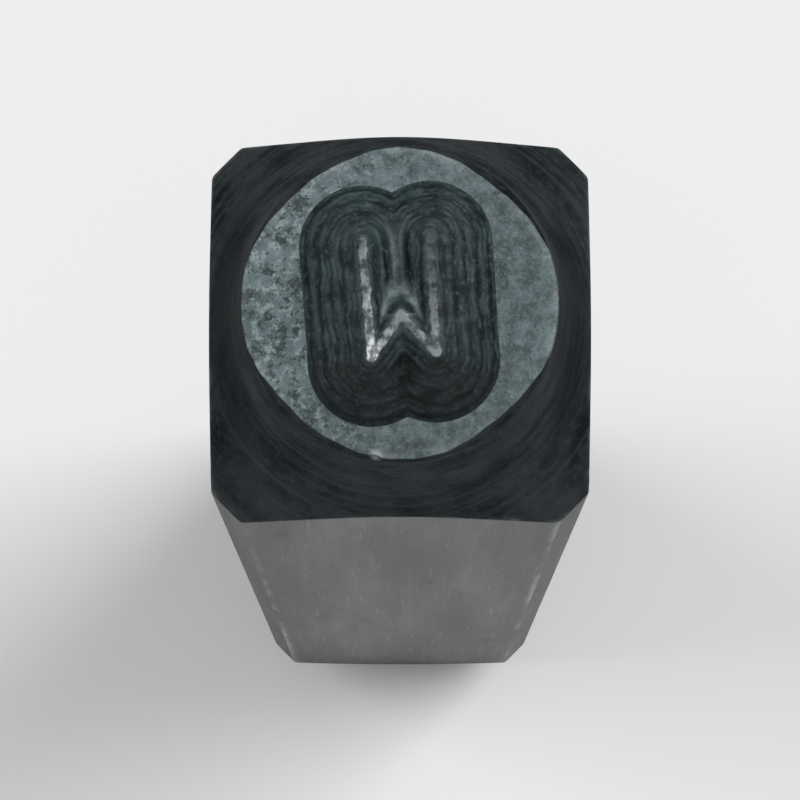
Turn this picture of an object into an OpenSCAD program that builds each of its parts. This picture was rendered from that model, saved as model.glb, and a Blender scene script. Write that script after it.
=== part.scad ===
// Steel letter punch: one bar of square steel with a raised capital letter on its working end.
// Millimetres, +Z up. The origin is the centre of the struck end, and the letter is on top.

/* [Shank] */
// Width of the square shank from flat to flat
shank_w = 6.35; // [5.5:0.05:8]
// Length from the struck end to the top of the letter
punch_l = 60; // [50:1:75]
// Leg of the narrow chamfer along each long corner
corner_cut = 0.5; // [0.2:0.05:0.8]

/* [Struck end] */
// Width of the flat ring that the turned chamfer takes off each side of the struck end
struck_cut = 0.45; // [0.2:0.05:0.6]
// Slope of that chamfer from the axis, in degrees
struck_angle = 45; // [30:5:60]

/* [Working end] */
// Width of the round face that carries the letter, as a share of the shank's width
face_share = 0.8; // [0.76:0.01:0.86]
// Fine bevel round the edge of the face
edge_cut = 0.08; // [0.04:0.01:0.15]
// Length of the straight part of the turned neck, below the bevel
neck_l = 2; // [1:0.1:3]
// Slope of that part from the axis, in degrees
neck_angle = 6; // [3:1:10]
// Radius of the curved run-out from the neck to the flats and corners
runout_r = 5; // [4:0.5:14]

/* [Letter] */
// Height of the letter from its feet to its shoulders
letter_h = 2; // [1.6:0.1:2.2]
// Width of the letter at its feet, as a share of its height
letter_share = 0.62; // [0.56:0.02:0.8]
// Width of the letter at its shoulders, as a share of its width at the feet
shoulder_share = 0.95; // [0.8:0.05:1]
// Depth of the dip between the shoulders, as a share of the letter's height
dip_share = 0.34; // [0.2:0.02:0.6]
// Angle by which the letter was cut askew to the shank, in degrees
letter_turn = 4; // [0:1:6]
// Width of the flat crest that marks the work
stroke_w = 0.16; // [0.1:0.01:0.3]
// Height of the crest above the round face
relief = 1; // [0.8:0.05:1.1]
// Slope of the flanks from the axis, in degrees
flank_angle = 43; // [40:1:46]

/* [Hidden] */

face_z = punch_l - relief;
face_r = face_share * shank_w / 2;
struck_r = shank_w / 2 - struck_cut;
// Distance from the axis to the outer ends of a corner chamfer, and a radius well clear of it
corner_r = norm([shank_w / 2, shank_w / 2 - corner_cut]);
clearance = 0.4;
clear_r = corner_r + clearance;
struck_chamfer_l = (clear_r - struck_r) / tan(struck_angle);
// Radius and height at which the straight neck passes into the run-out
neck_end_r = face_r + neck_l * tan(neck_angle);
neck_end_z = face_z - edge_cut - neck_l;
// Slope of the run-out where it passes the clear radius
runout_end = acos(cos(neck_angle) - (clear_r - neck_end_r) / runout_r);

// Lines of the letter, in its own frame with the feet below and the shoulders above
foot_x = (letter_h * letter_share - stroke_w) / 2;
shoulder_x = foot_x * shoulder_share;
line_y = (letter_h - stroke_w) / 2;
dip_y = line_y - dip_share * 2 * line_y;
LEFT_FOOT = [-foot_x, -line_y];
LEFT_SHOULDER = [-shoulder_x, line_y];
DIP = [0, dip_y];
RIGHT_SHOULDER = [shoulder_x, line_y];
RIGHT_FOOT = [foot_x, -line_y];
LETTER = [LEFT_FOOT, LEFT_SHOULDER, DIP, RIGHT_SHOULDER, RIGHT_FOOT];
// The hills start below the face, so that they are one solid with the bar
root = 0.4;
hill_r = stroke_w / 2 + (relief + root) * tan(flank_angle);

// Square bar with its four long corners taken off
module bar() {
    half = shank_w / 2;
    near = half - corner_cut;
    linear_extrude(punch_l)
        polygon([[half, -near], [half, near], [near, half], [-near, half],
                 [-half, near], [-half, -near], [-near, -half], [near, -half]]);
}

// Turned outline that both ends of the bar are cut to
module turned_outline() {
    steps = 12;
    runout = [for (i = [0 : steps])
        let (slope = runout_end + (neck_angle - runout_end) * i / steps)
        [neck_end_r + runout_r * (cos(neck_angle) - cos(slope)),
         neck_end_z - runout_r * (sin(slope) - sin(neck_angle))]];
    polygon(concat([[0, 0], [struck_r, 0], [clear_r, struck_chamfer_l]], runout,
                   [[face_r, face_z - edge_cut], [face_r - edge_cut, face_z], [0, face_z]]));
}

// Round hill under one point of the letter: flat on its crest, with flanks that spread evenly
module hill(point) {
    translate([point.x, point.y, face_z - root])
        cylinder(h = relief + root, r1 = hill_r, r2 = stroke_w / 2, $fn = 48);
}

// Raised capital M, turned so that its shoulders are toward -Y as the photographed punch stands
module letter() {
    rotate(180 + letter_turn)
        for (i = [0 : len(LETTER) - 2])
            hull() {
                hill(LETTER[i]);
                hill(LETTER[i + 1]);
            }
}

// The whole punch
module punch() {
    color([0.13, 0.15, 0.15]) {
        intersection() {
            bar();
            rotate_extrude($fn = 128) turned_outline();
        }
        letter();
    }
}

punch();
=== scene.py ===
# %% [markdown]
# # Steel letter punch
# The punch is one bar of square tool steel. Its working end is turned to a round neck, the letter
# stands in relief on the round face, and the whole bar is blackened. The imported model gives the
# sizes. This script makes one finer surface over it and the finishes of its parts: the ground
# face, the cut relief, the turned neck, the drawn flats and the struck end.

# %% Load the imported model
import itertools
import math

import bpy
import numpy as np
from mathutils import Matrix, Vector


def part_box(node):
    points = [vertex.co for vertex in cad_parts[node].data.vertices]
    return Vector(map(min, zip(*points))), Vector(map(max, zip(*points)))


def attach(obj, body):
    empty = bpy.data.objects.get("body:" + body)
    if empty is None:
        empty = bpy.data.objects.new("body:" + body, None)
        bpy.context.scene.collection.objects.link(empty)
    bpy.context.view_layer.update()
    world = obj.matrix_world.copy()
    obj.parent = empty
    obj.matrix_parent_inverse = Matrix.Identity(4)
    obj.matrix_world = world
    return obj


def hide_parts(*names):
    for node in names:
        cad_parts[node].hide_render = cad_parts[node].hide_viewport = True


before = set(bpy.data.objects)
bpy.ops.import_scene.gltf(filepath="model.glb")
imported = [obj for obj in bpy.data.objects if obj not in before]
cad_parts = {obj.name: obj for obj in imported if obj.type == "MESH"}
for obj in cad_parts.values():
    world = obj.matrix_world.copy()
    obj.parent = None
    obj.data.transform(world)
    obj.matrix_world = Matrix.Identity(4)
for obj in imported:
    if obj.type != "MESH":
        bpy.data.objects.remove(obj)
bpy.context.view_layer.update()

low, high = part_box("punch")
SHANK_W = high.x - low.x
PUNCH_L = high.z
print(f"shank {SHANK_W * 1000:.2f} mm square, {PUNCH_L * 1000:.1f} mm long")

# %% [markdown]
# ## The driving sizes
# They are the sizes of the solid model, in metres. A designer would keep them in one place, so that
# the relief, the neck and the flats always meet. Angles are in radians, from the punch's axis.

# %% Sizes of the punch
MM = 0.001
HALF = SHANK_W / 2
CORNER_CUT = 0.5 * MM
STRUCK_R = HALF - 0.45 * MM
STRUCK_SLOPE = math.radians(45)
RELIEF = 1.0 * MM
FACE_Z = PUNCH_L - RELIEF
FACE_R = 0.8 * HALF
EDGE_CUT = 0.08 * MM
NECK_L = 2.0 * MM
NECK_SLOPE = math.radians(6)
RUNOUT_R = 5.0 * MM
STROKE_W = 0.16 * MM
FLANK_SLOPE = math.radians(43)
FOOT_D = STROKE_W / 2 + RELIEF * math.tan(FLANK_SLOPE)
print(f"face {FACE_R * 2000:.2f} mm across, foot of the relief {FOOT_D * 1000:.2f} mm from the lines")

# %% [markdown]
# ## The letter's lines
# A letter punch is cut by a small cutter that follows the letter, so every point of the relief
# depends only on its distance from the letter's lines. The lines of the capital M are four straight
# strokes. The letter's shoulders are toward the front, and it was cut four degrees askew, so the
# lines are turned by half a turn and four degrees. A smooth minimum joins the four distances: it
# rounds the valleys between the strokes a little, as the cutter's own radius does.

# %% Lines of the letter
LETTER_H = 2.0 * MM
LETTER_TURN = math.radians(180 + 4)
FOOT_X = (0.62 * LETTER_H - STROKE_W) / 2
SHOULDER_X = 0.95 * FOOT_X
LINE_Y = (LETTER_H - STROKE_W) / 2
DIP_Y = LINE_Y - 0.34 * 2 * LINE_Y
VALLEY_ROUND = 0.03 * MM
upright = np.array([
    [-FOOT_X, -LINE_Y],
    [-SHOULDER_X, LINE_Y],
    [0, DIP_Y],
    [SHOULDER_X, LINE_Y],
    [FOOT_X, -LINE_Y],
])
turned = np.array([[math.cos(LETTER_TURN), math.sin(LETTER_TURN)],
                   [-math.sin(LETTER_TURN), math.cos(LETTER_TURN)]])
LETTER = upright @ turned


def smooth_min(a, b, rounding):
    """The smaller of a and b, with the corner between them rounded: half of their sum less the
    root of their squared difference plus the squared rounding."""
    return (a + b - np.sqrt((a - b) ** 2 + rounding**2)) / 2


def near_strokes(x, y):
    """For each stroke, the share of its length that is nearest to every point, the place there,
    and its distance. The point is projected on the stroke, and the share is kept from 0 to 1."""
    shares_along = []
    feet = []
    for start, end in zip(LETTER[:-1], LETTER[1:]):
        along = end - start
        share = ((x - start[0]) * along[0] + (y - start[1]) * along[1]) / (along @ along)
        share = np.clip(share, 0, 1)
        shares_along.append(share)
        feet.append((start[0] + share * along[0], start[1] + share * along[1]))
    feet = np.array(feet)
    distances = np.hypot(x - feet[:, 0], y - feet[:, 1])
    return np.array(shares_along), feet, distances


def letter_distance(x, y):
    """Distance from each point to the letter: the smooth minimum over its strokes."""
    nearest, *others = near_strokes(x, y)[2]
    for distance in others:
        nearest = smooth_min(nearest, distance, VALLEY_ROUND)
    return nearest


print("the face's centre is", round(float(letter_distance(0.0, 0.0)) / MM, 3), "mm from a stroke")

# %% [markdown]
# ## The bar and its turned ends
# Both ends are turned in a lathe, so at any height the surface is the nearer of two outlines: the
# square bar with its chamfered corners, and the turned circle. Where they meet, the turning leaves
# the low arches that show on the flats. The neck is straight at first and then runs out in an arc.

# %% Outline of the bar and of the turning
EDGE_ROUND = 0.03 * MM
NECK_END_R = FACE_R + NECK_L * math.tan(NECK_SLOPE)
NECK_TOP = FACE_Z - EDGE_CUT


def bar_radius(angle):
    """Distance from the axis to the bar's outline: the flat's distance over the cosine of the
    angle to its normal, and the same for the corner chamfer, whichever is nearer."""
    to_flat = (angle + math.pi / 4) % (math.pi / 2) - math.pi / 4
    to_corner = angle % (math.pi / 2) - math.pi / 4
    flat = HALF / np.cos(to_flat)
    corner = (2 * HALF - CORNER_CUT) / math.sqrt(2) / np.cos(to_corner)
    return smooth_min(flat, corner, EDGE_ROUND)


def neck_radius(z):
    """Turned radius at a height. Down to the end of the straight part the radius grows with the
    tangent of its slope. Below it the sine of the slope grows evenly with the depth, and the
    radius grows with the fall of its cosine."""
    depth = np.maximum(NECK_TOP - z, 0)
    straight = np.minimum(depth, NECK_L)
    sine = np.minimum((depth - straight) / RUNOUT_R + math.sin(NECK_SLOPE), 1)
    return FACE_R + straight * math.tan(NECK_SLOPE) + RUNOUT_R * (math.cos(NECK_SLOPE) - np.sqrt(1 - sine**2))


def arch_height(radius):
    """Height at which the run-out reaches a radius, the inverse of neck_radius."""
    cosine = math.cos(NECK_SLOPE) - (radius - NECK_END_R) / RUNOUT_R
    return NECK_TOP - NECK_L - RUNOUT_R * (np.sqrt(1 - cosine**2) - math.sin(NECK_SLOPE))


def struck_height(radius):
    """Height at which the struck end's chamfer reaches a radius."""
    return (radius - STRUCK_R) / math.tan(STRUCK_SLOPE)


print("arches on the flats reach", round((FACE_Z - float(arch_height(HALF))) / MM, 2), "mm below the face")

# %% [markdown]
# ## Columns round the axis
# The whole skin is one grid: columns are angles round the axis and rows follow the profile from
# the struck end's centre to the face's centre. Columns crowd at the corner chamfers' edges, where
# the outline turns sharply, so that those edges stay crisp. The black is rubbed thin there in a
# narrow line, so each column also gets its share of edge wear, which soon falls off to the sides.

# %% Angles of the columns
EVEN_COLUMNS = 320
EDGE_WEAR_W = 0.05 * MM
chamfer_edge = math.atan2(HALF - CORNER_CUT, HALF)
even = np.arange(EVEN_COLUMNS) * 2 * math.pi / EVEN_COLUMNS
corner_edges = np.array([k * math.pi / 2 + s * chamfer_edge for k in range(4) for s in (-1, 1)])
crowded = corner_edges[:, None] + np.radians([-1.6, -0.8, -0.4, -0.15, 0.0, 0.15, 0.4, 0.8, 1.6])
ANGLES = np.unique(np.round(np.concatenate([even, crowded.ravel() % (2 * math.pi)]), 6))
COS = np.cos(ANGLES)
SIN = np.sin(ANGLES)
BAR = bar_radius(ANGLES)
gap = (ANGLES[:, None] - corner_edges + math.pi) % (2 * math.pi) - math.pi
CORNER_WEAR = np.exp(-(np.abs(gap).min(axis=1) * BAR / EDGE_WEAR_W) ** 2)
print(len(ANGLES), "columns")

# %% [markdown]
# ## The face's edge
# The face was ground last and its edge was dressed by hand. The bevel is widest on the diagonals and
# almost gone at the left and right, so the pale face is not quite round: it comes to a faint point
# on both sides. Two small nicks mark its edge.

# %% Edge of the face
NICKS = ((math.radians(4.5), 0.06 * MM), (math.radians(-99), 0.04 * MM))
NICK_W = math.radians(1.8)


def bell(angle, place):
    """1 at a nick's place, and a bell curve down to 0 on both sides of it."""
    away = (angle - place + math.pi) % (2 * math.pi) - math.pi
    return np.exp(-(away / NICK_W) ** 2)


def bevel_width(angle):
    """Width of the bevel at an angle: a mean width with waves of two, four and more periods
    round the edge, and a bell-shaped notch at each nick."""
    width = EDGE_CUT * (0.7 - 0.5 * np.cos(2 * angle) - 0.75 * np.cos(4 * angle))
    width = width + EDGE_CUT * (0.1 * np.sin(7 * angle + 1) + 0.08 * np.sin(13 * angle + 2))
    width = width + EDGE_CUT * 0.06 * np.sin(31 * angle)
    for place, depth in NICKS:
        width = width + depth * bell(angle, place)
    return np.maximum(width, 0.05 * EDGE_CUT)


FACE_EDGE = FACE_R - bevel_width(ANGLES)
NICK_WEAR = sum(bell(ANGLES, place) for place, _ in NICKS)
print(f"face {2000 * FACE_EDGE.min():.2f} to {2000 * FACE_EDGE.max():.2f} mm across")

# %% [markdown]
# ## The relief
# The flanks fall away from the narrow crest at about 43 degrees. The cutter goes round the letter
# in a few passes, each a little deeper and further out, and leaves terraces. Each terrace is a step
# that a smooth curve rounds off, and the flank keeps its slope between the steps. No two passes
# are alike, so each step has its own strength and wavers a little on its way round.

# %% Height of the relief
PASS_STRENGTH = np.array([0.5, 0.9, 0.65, 0.95, 0.7])
PASSES = len(PASS_STRENGTH)
PASS_WAVER = 0.35
CREST_ROUND = 0.03 * MM


def relief_height(distance, angle):
    """Height above the face at a distance from the strokes. The even fall is the distance past
    the crest's edge over the flank's tangent, and part of it is gathered into rounded steps. The
    steps shift with the angle, most at half height and not at all at the crest and the foot."""
    past = distance - STROKE_W / 2
    past = (past + np.sqrt(past**2 + CREST_ROUND**2)) / 2
    fall = np.clip(past / math.tan(FLANK_SLOPE) / RELIEF, 0, 1)
    waver = np.sin(2 * angle + 0.8) + 0.6 * np.sin(5 * angle + 2.1) + 0.3 * np.sin(11 * angle)
    steps = fall * PASSES + PASS_WAVER * waver * fall * (1 - fall)
    whole = np.clip(np.floor(steps), 0, PASSES - 1).astype(int)
    part = steps - whole
    rounded = part**2 * (3 - 2 * part)
    return RELIEF * np.clip(1 - fall - PASS_STRENGTH[whole] * (rounded - part) / PASSES, 0, 1)


def ring_at_distance(distance):
    """Radius along each column where the strokes are that far away, by halving the interval
    between the face's centre and its edge."""
    near = np.zeros(len(ANGLES))
    far = np.full(len(ANGLES), FACE_R)
    for _ in range(40):
        middle = (near + far) / 2
        inside = letter_distance(middle * COS, middle * SIN) < distance
        near = np.where(inside, middle, near)
        far = np.where(inside, far, middle)
    return (near + far) / 2


FOOT_RING = ring_at_distance(FOOT_D)
print(f"foot of the relief from {FOOT_RING.min() / MM:.2f} to {FOOT_RING.max() / MM:.2f} mm off the axis")

# %% [markdown]
# ## Rows of the skin
# Each stretch of the profile gives its rows as a radius and a height in every column. Rows on the
# relief follow the strokes at set distances, so the foot and the terraces run along the grid and
# stay sharp. Inside the last of those rings the rows shrink evenly to the face's centre. Each row
# also carries measures for the finishes: how worn the steel is, how far the strokes are, and how
# near the point is to a seam, where the cuts round two strokes meet.

# %% Rows from the struck end to the face's centre
CORE_D = FOOT_X + VALLEY_ROUND
RIM_WEAR = np.clip(0.45 + NICK_WEAR, 0, 1)
RIM_WEAR_W = 0.08 * MM
STRUCK_WEAR = 0.6
ARCH_WEAR = 0.3
rows = []
measures = {"wear": [], "line_mm": [], "seam": []}
finishes = []


def add_rows(finish, radius, height, wear=0.0, line_gap=FOOT_D, seam=0.0):
    """Adds rows of one finish: every argument is a number or an array of rows by columns."""
    radius, height, wear, line_mm, seam, _ = np.broadcast_arrays(
        radius, height, wear, line_gap / MM, seam, ANGLES)
    rows.append(np.stack([radius * COS, radius * SIN, height], axis=2))
    for name, values in (("wear", wear), ("line_mm", line_mm), ("seam", seam)):
        measures[name].append(values)
    finishes.extend([finish] * len(radius))


def shares(count, ends=(0.0, 1.0)):
    """A column of evenly spaced shares, for rows between two curves."""
    return np.linspace(*ends, count)[:, None]


near_edge = np.array([0.015, 0.05, 0.1, 0.2, 0.45]) * MM
arch = arch_height(BAR)
struck_rim = struck_height(BAR)
add_rows("struck", STRUCK_R * shares(6, (0.2, 0.97)), 0.0)
chamfer = shares(8, (0.0, 0.97)) * struck_rim
chamfer_r = smooth_min(STRUCK_R + chamfer * math.tan(STRUCK_SLOPE), BAR, EDGE_ROUND)
add_rows("struck", chamfer_r, chamfer, STRUCK_WEAR * np.exp(-(chamfer / EDGE_WEAR_W) ** 2))
low_z = struck_rim + near_edge[:, None]
high_z = arch - near_edge[::-1, None]
middle_z = low_z[-1] + shares(20, (0.04, 0.96)) * (high_z[0] - low_z[-1])
shank_z = np.concatenate([low_z, middle_z, high_z])
turning = np.minimum(STRUCK_R + shank_z * math.tan(STRUCK_SLOPE), neck_radius(shank_z))
end_wear = np.exp(-((shank_z - struck_rim) / EDGE_WEAR_W) ** 2)
arch_wear = np.exp(-((arch - shank_z) / EDGE_WEAR_W) ** 2)
flat_wear = np.maximum(CORNER_WEAR, np.maximum(STRUCK_WEAR * end_wear, ARCH_WEAR * arch_wear))
add_rows("flat", smooth_min(BAR, turning, EDGE_ROUND), shank_z, flat_wear)
neck_share = np.concatenate([[0.004, 0.015, 0.04], np.linspace(0.08, 1, 32)])[:, None]
neck_z = arch + neck_share * (NECK_TOP - arch)
neck_wear = np.exp(-((neck_z - arch) / EDGE_WEAR_W) ** 2) * ARCH_WEAR
add_rows("neck", smooth_min(BAR, neck_radius(neck_z), EDGE_ROUND), neck_z, neck_wear)
bevel = shares(4, (0.25, 1.0))
bevel_r = FACE_R - (FACE_R - FACE_EDGE) * bevel**1.5
add_rows("neck", bevel_r, FACE_Z - EDGE_CUT * (1 - bevel), 0.7 * NICK_WEAR)
to_foot = 1 - (1 - shares(14, (0.04, 1.0))) ** 1.5
face_r = FACE_EDGE * (1 - to_foot) + FOOT_RING * to_foot
add_rows("face", face_r, FACE_Z, RIM_WEAR * np.exp(-((FACE_EDGE - face_r) / RIM_WEAR_W) ** 2))
print("rows up to the relief:", len(finishes))

# %% [markdown]
# ## Wear and painted highlights on the crest and the valley seams
# The crest marks the work and is worn bare in patches, and its brightness also carries a painted
# highlight: the left shoulder shines most, the dip less so, and the feet are dull. Both are set at
# the letter's five corners and run evenly along each stroke between them. Each point takes the mean
# of the four strokes' values, weighted by a bell curve of its distance to each. In the valleys, the
# cuts round two strokes meet in a seam, painted paler as a thin highlight: it runs where the two nearest
# strokes are equally far.

# %% Rows of the relief
# Wear with a painted highlight at each corner of the letter, brightest on the left shoulder.
CORNER_SHINE = (0.1, 0.55, 0.5, 1.0, 0.45)
BELL_W = 0.12 * MM
SEAM_SHARE = 0.42
SEAM_DEPTH = 0.6 * MM
SEAM_FRONT = -0.4 * MM
FADE_W = 0.15 * MM


def crest_wear_and_highlight(x, y):
    """Wear and painted highlight at a point: on each stroke they run evenly from one end's value to the
    other's, and the strokes count by how near they are."""
    share, _, distance = near_strokes(x, y)
    start = np.array(CORNER_SHINE[:-1])[:, None, None]
    end = np.array(CORNER_SHINE[1:])[:, None, None]
    weight = np.exp(-(distance / BELL_W) ** 2) + 1e-9
    return ((start + (end - start) * share) * weight).sum(axis=0) / weight.sum(axis=0)


def seam_nearness(x, y):
    """1 on a seam and a bell curve down to 0 beside it, the largest over all pairs of strokes. The
    bell is over how much further the two strokes are than the nearest one, as a share of that
    one's distance, so a seam is wider in a deeper valley. A pair counts only where its nearest
    places lie well apart for their distance, and a seam shows only behind the front valley and
    not far out on the flanks."""
    _, feet, distance = near_strokes(x, y)
    nearest = distance.min(axis=0) + 1e-9
    seam = 0.0
    for first, second in itertools.combinations(range(len(feet)), 2):
        step = feet[first] - feet[second]
        apart = np.clip((np.hypot(step[0], step[1]) / nearest - 0.5) / 0.15, 0, 1)
        further = distance[first] + distance[second] - 2 * nearest
        seam = np.maximum(seam, apart * np.exp(-(further / nearest / SEAM_SHARE) ** 2))
    inside = np.clip((SEAM_DEPTH - nearest) / FADE_W, 0, 1) * np.clip((y - SEAM_FRONT) / FADE_W, 0, 1)
    return seam * inside


def add_relief(radius):
    """Adds rows of the relief at given radii."""
    x = radius * COS
    y = radius * SIN
    distance = letter_distance(x, y)
    height = FACE_Z + relief_height(distance, ANGLES)
    add_rows("relief", radius, height, crest_wear_and_highlight(x, y), distance, seam_nearness(x, y))


ring_distances = np.linspace(FOOT_D, CORE_D, 40)[1:]
flank = np.array([ring_at_distance(distance) for distance in ring_distances])
add_relief(flank)
CORE_ROWS = 84
add_relief(flank[-1] * shares(CORE_ROWS, (1 - 1 / (CORE_ROWS + 1), 1 / (CORE_ROWS + 1))))
grid = np.concatenate(rows)
print("rows and columns:", grid.shape[:2])

# %% [markdown]
# ## One closed mesh
# Quads join each row to the next, all the way round, and a fan closes each pole. The winding runs
# so that every face looks outwards. The measures go into the mesh as attributes.

# %% Build the mesh


def skin_faces(row_count, column_count):
    """Quads between neighbouring rows and columns, and a triangle fan at each pole. The first
    pole's index comes after all grid points, and the second pole's after that."""
    row, column = np.meshgrid(np.arange(row_count - 1), np.arange(column_count), indexing="ij")
    beside = (column + 1) % column_count
    quads = np.stack([row * column_count + column, row * column_count + beside,
                      (row + 1) * column_count + beside, (row + 1) * column_count + column], axis=2)
    first = np.arange(column_count)
    second = (first + 1) % column_count
    last_row = (row_count - 1) * column_count
    start_pole = np.full(column_count, row_count * column_count)
    start = np.stack([start_pole, second, first], axis=1)
    end = np.stack([start_pole + 1, last_row + first, last_row + second], axis=1)
    return quads.reshape(-1, 4), start, end


row_count, column_count = grid.shape[:2]
centre_gap = float(letter_distance(0.0, 0.0))
poles = np.array([[0, 0, 0], [0, 0, FACE_Z + float(relief_height(np.array(centre_gap), 0.0))]])
points = np.concatenate([grid.reshape(-1, 3), poles])
quads, start_fan, end_fan = skin_faces(row_count, column_count)
mesh = bpy.data.meshes.new("punch_skin")
mesh.from_pydata(points.tolist(), [], quads.tolist() + start_fan.tolist() + end_fan.tolist())
mesh.polygons.foreach_set("use_smooth", np.ones(len(mesh.polygons), bool))
for name, parts in measures.items():
    at_poles = (parts[0][0, 0], parts[-1][-1, 0])
    values = np.concatenate([np.concatenate(parts).ravel(), at_poles])
    attribute = mesh.attributes.new(name, "FLOAT", "POINT")
    attribute.data.foreach_set("value", values.astype(np.float32))
mesh.validate()
punch = bpy.data.objects.new("punch_skin", mesh)
bpy.context.scene.collection.objects.link(punch)
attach(punch, "root")
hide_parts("punch")
print(len(quads) * 2 + 2 * column_count, "triangles")

# %% [markdown]
# ## Shader maths
# A finish is a formula over the surface, so it reads best as a formula. This small class wraps a
# socket, and each operator adds the Math node that does it.

# %% Sockets as values


class Value:
    """A socket that can stand in a Python expression."""

    def __init__(self, nodes, socket):
        self.nodes = nodes
        self.socket = socket

    def _math(self, operation, *others):
        sockets = dict(enumerate((self, *others)))
        return self.nodes.make("ShaderNodeMath", {"operation": operation}, sockets)

    def __add__(self, other):
        return self._math("ADD", other)

    def __sub__(self, other):
        return self._math("SUBTRACT", other)

    def __rsub__(self, other):
        return self.nodes.make("ShaderNodeMath", {"operation": "SUBTRACT"}, {0: other, 1: self})

    def __mul__(self, other):
        return self._math("MULTIPLY", other)

    def __truediv__(self, other):
        return self._math("DIVIDE", other)

    __radd__ = __add__
    __rmul__ = __mul__

    def sine(self):
        return self._math("SINE")

    def clamped(self):
        """The value, kept between 0 and 1."""
        return self.nodes.make("ShaderNodeClamp", {}, {0: self})

    def between(self, low_end, high_end):
        """0 below low_end, 1 above high_end and a smooth rise in between."""
        return self.nodes.make("ShaderNodeMapRange", {"interpolation_type": "SMOOTHSTEP"},
                               {"Value": self, "From Min": low_end, "From Max": high_end})


class Nodes:
    """A node tree that a finish or the studio's light is written in."""

    def __init__(self, tree):
        self.tree = tree
        self.tree.nodes.clear()

    def make(self, kind, settings, sockets, output=0):
        """Adds a node: its type, its settings, then the values or links of its sockets."""
        node = self.tree.nodes.new(kind)
        for name, value in settings.items():
            setattr(node, name, value)
        for name, value in sockets.items():
            if isinstance(value, Value):
                self.tree.links.new(value.socket, node.inputs[name])
            else:
                node.inputs[name].default_value = value
        return Value(self, node.outputs[output]) if node.outputs else node


class Finish(Nodes):
    """The node tree of one material."""

    def __init__(self, name):
        self.material = bpy.data.materials.new(name)
        self.material.use_nodes = True
        super().__init__(self.material.node_tree)

    def place(self):
        """Object coordinates, in metres."""
        return self.make("ShaderNodeTexCoord", {}, {}, "Object")

    def axis(self, name):
        """One of the object coordinates, as a value in millimetres."""
        return self.make("ShaderNodeSeparateXYZ", {}, {0: self.place()}, name) * 1000

    def off_axis(self):
        """Distance from the punch's axis, in millimetres."""
        flat = self.make("ShaderNodeVectorMath", {"operation": "MULTIPLY"},
                         {0: self.place(), 1: (1000, 1000, 0)})
        return self.make("ShaderNodeVectorMath", {"operation": "LENGTH"}, {0: flat}, "Value")

    def measure(self, name):
        """One of the mesh's measures: wear, line_mm or seam."""
        return self.make("ShaderNodeAttribute", {"attribute_name": name}, {}, "Fac")

    def noise(self, size_mm, detail=3.0, roughness=0.55, stretch=(1, 1, 1)):
        """Noise whose lumps are about size_mm across, from 0 to 1."""
        scale = tuple(1000 / size_mm * s for s in stretch)
        place = self.make("ShaderNodeMapping", {}, {"Vector": self.place(), "Scale": scale})
        return self.make("ShaderNodeTexNoise", {"noise_dimensions": "3D"},
                         {"Vector": place, "Scale": 1.0, "Detail": detail, "Roughness": roughness})

    def mixed(self, share, first, second):
        """Colour that goes from first to second as share goes from 0 to 1."""
        return self.make("ShaderNodeMix", {"data_type": "RGBA"},
                         {0: share, 6: self.colour(first), 7: self.colour(second)}, 2)

    @staticmethod
    def colour(value):
        return value if isinstance(value, Value) else (*value, 1)

    def bump(self, height, depth_mm):
        """Normal of a surface whose height goes from 0 to depth_mm."""
        return self.make("ShaderNodeBump", {}, {"Distance": depth_mm * MM, "Height": height})

    def surface(self, sockets):
        """The shader and the output. Returns the material."""
        shader = self.make("ShaderNodeBsdfPrincipled", {}, sockets)
        self.make("ShaderNodeOutputMaterial", {}, {"Surface": shader})
        return self.material


BARE_STEEL = (0.36, 0.38, 0.38)
TOP_MM = FACE_Z / MM
PASS_MM = (FOOT_D - STROKE_W / 2) / PASSES / MM
print("shader helpers ready")

# %% [markdown]
# ## Ground face
# The face round the relief is the palest part. It was ground before it was blackened, so it is a
# cool grey with dark pits and pale grains, and the grains are strongest on the left.

# %% Ground face


def ground_face():
    """Finish of the round face."""
    finish = Finish("ground_face")
    coarse_side = 1 - finish.axis("X").between(-2.0, 0.6)
    cloud = finish.noise(0.9, 2)
    grain = finish.noise(0.22, 4, 0.7)
    fine = finish.noise(0.06, 3, 0.6)
    tone = (cloud * 0.3 + grain * 0.5 + fine * 0.2).between(0.38, 0.62)
    fleck = finish.noise(0.17, 4, 0.75).between(0.5, 0.6)
    pit = finish.noise(0.19, 4, 0.75).between(0.52, 0.62)
    colour = finish.mixed(tone, (0.044, 0.066, 0.07), (0.138, 0.183, 0.194))
    colour = finish.mixed(fleck * (0.25 + 0.75 * coarse_side), colour, (0.22, 0.286, 0.288))
    colour = finish.mixed(pit * (0.3 + 0.7 * coarse_side), colour, (0.022, 0.036, 0.038))
    # Painted shade: the front of the face is painted darker.
    front = 1 - finish.axis("Y").between(-2.4, -0.6)
    colour = finish.mixed(front * 0.22, colour, (0.02, 0.022, 0.022))
    worn = finish.measure("wear") * finish.noise(0.6, 3).between(0.4, 0.62)
    return finish.surface({
        "Base Color": finish.mixed(worn * 0.8, colour, BARE_STEEL),
        "Metallic": 0.1 + 0.5 * worn,
        "Roughness": 0.58 - 0.14 * tone,
        "Specular IOR Level": 0.35,
        "Normal": finish.bump(grain * 0.5 + fleck * 0.3 - pit * 0.5 + fine * 0.2, 0.016),
    })


# %% [markdown]
# ## Cut relief
# The cut flanks took the blackening well and are nearly black, with fine rings from the cutter that
# follow the strokes. The flank just below the crest is handled most and is a shade paler. The
# treads of the terraces are paler too, partly from handling and partly as a painted highlight on
# their flatter tops. The crest has marked metal before, so its black is worn off in patches with
# ragged borders. All of these follow the distance to the strokes, which the mesh carries, and noise
# breaks them up. The front flank is painted near black, as painted shade.

# %% Cut relief


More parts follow.
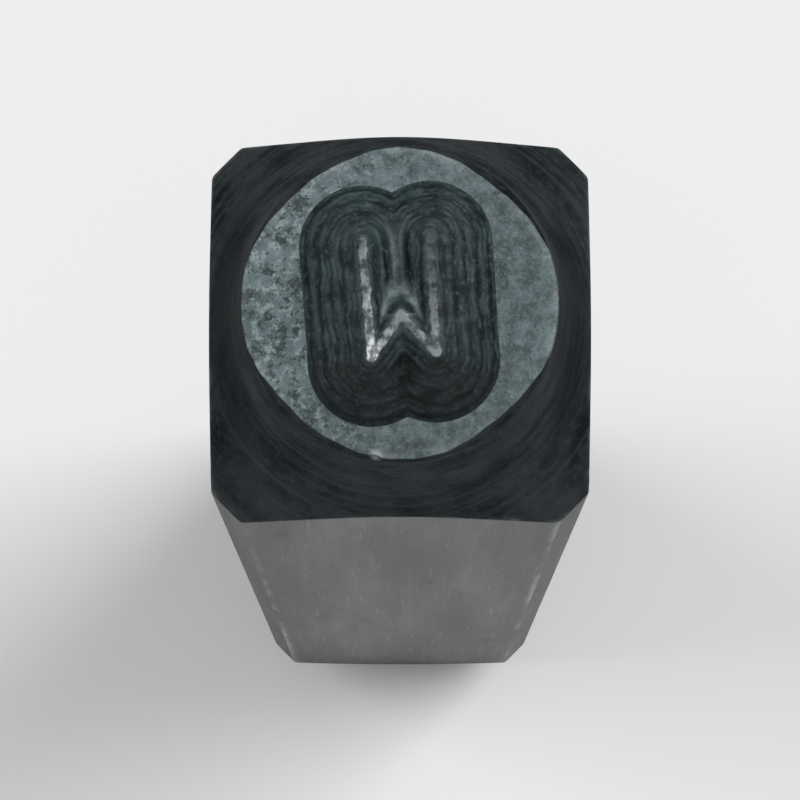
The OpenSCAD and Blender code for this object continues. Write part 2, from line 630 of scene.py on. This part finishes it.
def cut_relief():
    """Finish of the relief."""
    finish = Finish("cut_relief")
    steel = (0.38, 0.41, 0.42)
    bright = (0.66, 0.69, 0.7)
    ragged = (finish.noise(0.13, 3, 0.6) - 0.5) * 0.09
    crest = 1 - (finish.measure("line_mm") + ragged).between(0.045, 0.08)
    patch = finish.noise(0.2, 3, 0.65).between(0.36, 0.6)
    # The crest's wear also carries a painted highlight, brightest on the left shoulder.
    worn = (crest * finish.measure("wear") * (0.2 + 0.8 * patch)).clamped()
    waver = finish.noise(0.5, 3)
    past = finish.measure("line_mm") - STROKE_W / 2 / MM
    smear = finish.noise(0.3, 4, 0.65).between(0.38, 0.62)
    rings = (finish.measure("line_mm") * (2 * math.pi / 0.095) + waver * 14).sine() * 0.5 + 0.5
    streak = finish.noise(0.24, 4, 0.65).between(0.42, 0.68)
    grain = finish.noise(0.1, 4, 0.65)
    cloud = finish.noise(0.4, 4, 0.65).between(0.36, 0.64)
    front = 1 - (finish.axis("Y") + waver * 0.5).between(-0.95, -0.25)
    # Painted highlight and wear: the treads of the terraces are painted paler.
    tread = (past * (2 * math.pi / PASS_MM) + waver * 2 + (math.pi / 2 - 1)).sine() * 0.5 + 0.5
    rubbed = 1 - past.between(0.0, 0.24)
    black = finish.mixed(cloud, (0.001, 0.003, 0.003), (0.011, 0.021, 0.0225))
    black = finish.mixed(tread * smear * 0.6, black, (0.046, 0.069, 0.075))
    black = finish.mixed(rubbed * smear * 0.2, black, (0.08, 0.105, 0.11))
    black = finish.mixed(rings * streak * 0.8, black, (0.066, 0.1, 0.107))
    black = finish.mixed(grain.between(0.56, 0.7) * 0.5, black, (0.1, 0.13, 0.135))
    # Painted shade: the flank toward the front is painted near black.
    black = finish.mixed(front * 0.55, black, (0.004, 0.004, 0.004))
    # Painted highlight: the seams in the valleys are painted paler.
    seam = finish.measure("seam") * (0.45 + 0.55 * streak)
    black = finish.mixed(seam, black, (0.24, 0.295, 0.31))
    return finish.surface({
        "Base Color": finish.mixed(worn, black, finish.mixed(worn.between(0.7, 0.95), steel, bright)),
        "Metallic": 0.05 + 0.65 * worn,
        "Roughness": 0.52 - 0.2 * worn,
        "Specular IOR Level": 0.16,
        "Normal": finish.bump(grain * 0.6 + rings * streak * 0.5, 0.014),
    })


# %% [markdown]
# ## Turned neck
# The lathe leaves rings of uneven depth round the neck, and the blackening over them is a matt dark
# grey with a green cast. Noise that is drawn out sideways and squeezed along the axis makes rings
# that no two of are alike, which a plain sine wave would not. The steep sides next to the face are
# painted darker as painted shade, and the front is painted a shade paler as painted light.

# %% Turned neck


def turned_neck():
    """Finish of the neck."""
    finish = Finish("turned_neck")
    rings = finish.noise(0.12, 3, 0.55, (0.03, 0.03, 1.0))
    fine = finish.noise(0.04, 2, 0.5, (0.03, 0.03, 1.0))
    grain = finish.noise(0.13, 4, 0.65)
    cloud = finish.noise(0.9, 4, 0.65).between(0.32, 0.68)
    worn = finish.measure("wear") * finish.noise(0.5, 3, 0.6).between(0.42, 0.66)
    colour = finish.mixed(cloud, (0.0065, 0.0095, 0.0115), (0.029, 0.0345, 0.0385))
    colour = finish.mixed(rings.between(0.46, 0.7) * 0.6, colour, (0.04, 0.049, 0.051))
    colour = finish.mixed(grain.between(0.5, 0.72) * 0.5, colour, (0.048, 0.057, 0.06))
    # Painted shade: the steep sides next to the face are painted darker.
    sides = finish.axis("X").between(2.3, 2.7) + (finish.axis("X") * -1).between(2.3, 2.7)
    steep = finish.axis("Z").between(TOP_MM - 4.2, TOP_MM - 3.2)
    colour = finish.mixed(sides * steep * 0.6, colour, (0.004, 0.005, 0.006))
    # Painted light: the front of the neck is painted a shade paler.
    front = (1 - finish.axis("Y").between(-3.0, -2.0)) * (0.5 + 0.5 * cloud)
    colour = finish.mixed(front * 0.28, colour, (0.054, 0.064, 0.067))
    return finish.surface({
        "Base Color": finish.mixed(worn * 0.7, colour, BARE_STEEL),
        "Metallic": 0.5 * worn,
        "Roughness": 0.75 - 0.15 * worn + 0.08 * fine,
        "Specular IOR Level": 0.02,
        "Normal": finish.bump(rings * 0.6 + fine * 0.2 + grain * 0.2, 0.016),
    })


# %% [markdown]
# ## Drawn flats
# The flats and the corner chamfers are as the bar was drawn: satin, with faint lines along its
# length and a few small stains. The sharp edges are rubbed bare in a fine broken line.

# %% Drawn flats


def drawn_flat():
    """Finish of the shank."""
    finish = Finish("drawn_flat")
    lines = finish.noise(0.14, 3, 0.6, (1.0, 1.0, 0.012))
    cloud = finish.noise(1.6, 4, 0.6, (1.0, 1.0, 0.06)).between(0.3, 0.7)
    stain = finish.noise(0.7, 4, 0.65, (1.0, 1.0, 0.12)).between(0.56, 0.78)
    scratch = finish.noise(0.07, 1, 0.4, (1.0, 1.0, 0.02)).between(0.66, 0.76)
    worn = finish.measure("wear") * finish.noise(0.9, 4, 0.65, (1.0, 1.0, 0.12)).between(0.44, 0.66)
    colour = finish.mixed(cloud, (0.015, 0.017, 0.018), (0.032, 0.035, 0.036))
    colour = finish.mixed(lines.between(0.48, 0.72) * 0.5, colour, (0.06, 0.063, 0.064))
    colour = finish.mixed(stain * 0.45, colour, (0.012, 0.013, 0.014))
    colour = finish.mixed(scratch * 0.4, colour, (0.15, 0.155, 0.155))
    return finish.surface({
        "Base Color": finish.mixed(worn * 0.5, colour, BARE_STEEL),
        "Metallic": 0.06 + 0.35 * worn,
        "Roughness": 0.42 + 0.1 * cloud + 0.06 * stain - 0.06 * worn,
        "Specular IOR Level": 0.15,
        "Normal": finish.bump(lines, 0.006),
    })


# %% [markdown]
# ## Struck end
# The struck end was faced in the lathe, which left fine rings, and it takes the hammer. So its black
# is worn through in the middle, with small dents, and its rim is rubbed bare. Wear that depends on
# the distance from the axis says this more plainly than spots of noise alone.

# %% Struck end


def struck_end():
    """Finish of the struck end and its chamfer."""
    finish = Finish("struck_end")
    end_face = 1 - finish.axis("Z").between(0.0, 0.05)
    waver = finish.noise(0.8, 2)
    rings = ((finish.off_axis() + waver * 0.02) * (2 * math.pi / 0.11)).sine() * 0.5 + 0.5
    hammered = 1 - (finish.off_axis() + waver * 1.6).between(1.4, 3.1)
    dents = finish.noise(0.7, 2, 0.5).between(0.5, 0.68) * end_face
    scuff = finish.noise(0.35, 4, 0.7).between(0.36, 0.62)
    rubbed = finish.measure("wear") * finish.noise(0.7, 3, 0.6).between(0.35, 0.6)
    worn = (hammered * (0.35 + 0.65 * scuff) * end_face * 0.75 + rubbed).clamped()
    grain = finish.noise(0.12, 3, 0.6)
    black = finish.mixed(grain, (0.016, 0.018, 0.019), (0.034, 0.037, 0.038))
    return finish.surface({
        "Base Color": finish.mixed(worn * 0.8, black, BARE_STEEL),
        "Metallic": 0.1 + 0.6 * worn,
        "Roughness": 0.48 + 0.1 * grain - 0.1 * worn,
        "Specular IOR Level": 0.3,
        "Normal": finish.bump(grain * 0.2 + rings * end_face * 0.25 - dents * 0.9, 0.02),
    })


# %% Put the finishes on
makers = {"struck": struck_end, "flat": drawn_flat, "neck": turned_neck, "face": ground_face,
          "relief": cut_relief}
order = list(makers)
for maker in makers.values():
    mesh.materials.append(maker())
row_finish = np.array([order.index(finish) for finish in finishes])
index = np.concatenate([np.repeat(row_finish[1:], column_count),
                        np.full(column_count, row_finish[0]), np.full(column_count, row_finish[-1])])
mesh.polygons.foreach_set("material_index", index.astype(np.int32))
mesh.update()
print("finishes:", [material.name for material in mesh.materials])

# %% [markdown]
# ## Floor, light and camera
# The punch stands on a white table between two large soft lamps, the stronger one behind it on the
# right, under an even white sky. Together they light a flat card so that its colour comes out as
# it is written. The camera looks down on the face from the front, six degrees off the punch's
# axis, with a long lens. That angle shows in how soon the front flat narrows toward the floor: the
# nearer the camera is to the axis, the sooner the flat's two edges run together.

# %% Floor


def table_top():
    """A pale floor, far wider than the view."""
    size = 40 * PUNCH_L
    corners = [(-size, -size, 0), (size, -size, 0), (size, size, 0), (-size, size, 0)]
    plane = bpy.data.meshes.new("table_top")
    plane.from_pydata(corners, [], [(0, 1, 2, 3)])
    floor = bpy.data.objects.new("table_top", plane)
    bpy.context.scene.collection.objects.link(floor)
    finish = Finish("table_white")
    plane.materials.append(finish.surface({"Base Color": (0.93, 0.93, 0.925, 1), "Roughness": 0.8,
                                           "Specular IOR Level": 0.0}))


table_top()

# %% Light
SKY = 0.34
WHITE = 0.93


def soft_lamp(name, place, size, power):
    """A square lamp that looks at the punch's face. It stands metres away, so that the whole table
    is lit evenly."""
    lamp = bpy.data.lights.new(name, "AREA")
    lamp.size = size
    lamp.energy = power
    lamp_object = bpy.data.objects.new(name, lamp)
    bpy.context.scene.collection.objects.link(lamp_object)
    lamp_object.location = place
    toward = lamp_object.location.copy()
    toward.z -= FACE_Z
    lamp_object.rotation_euler = toward.to_track_quat("Z", "Y").to_euler()


soft_lamp("key_lamp", (1.95, 0.95, 2.35), 1.7, 60)
soft_lamp("fill_lamp", (-2.3, 0.5, 2.0), 1.7, 32)

scene = bpy.context.scene
world = bpy.data.worlds.new("studio")
scene.world = world
world.use_nodes = True
sky = Nodes(world.node_tree)
seen = sum((sky.make("ShaderNodeLightPath", {}, {}, ray)
            for ray in ("Is Camera Ray", "Is Glossy Ray", "Is Transmission Ray")), 0.0).clamped()
light = sky.make("ShaderNodeBackground", {}, {"Color": (1, 1, 1, 1), "Strength": SKY + (WHITE - SKY) * seen})
sky.make("ShaderNodeOutputWorld", {}, {"Surface": light})
scene.view_settings.view_transform = "Standard"

# %% Camera
OFF_AXIS = math.radians(6)
DISTANCE = 15 * SHANK_W
TIP_SHARE = 0.5
AIM_FORWARD = 0.244 * SHANK_W
camera = bpy.data.cameras.new("camera")
camera_object = bpy.data.objects.new("camera", camera)
scene.collection.objects.link(camera_object)
camera_object.location = (0, -DISTANCE * math.sin(OFF_AXIS), FACE_Z + DISTANCE * math.cos(OFF_AXIS))
aim = camera_object.location.copy()
aim.y += AIM_FORWARD
aim.z -= FACE_Z
camera_object.rotation_euler = aim.to_track_quat("Z", "Y").to_euler()
camera.sensor_width = 36
camera.lens = camera.sensor_width * TIP_SHARE * DISTANCE * math.cos(OFF_AXIS) / SHANK_W
camera.clip_start = 0.005
camera.clip_end = 20
scene.camera = camera_object
print(f"lens {camera.lens:.0f} mm")
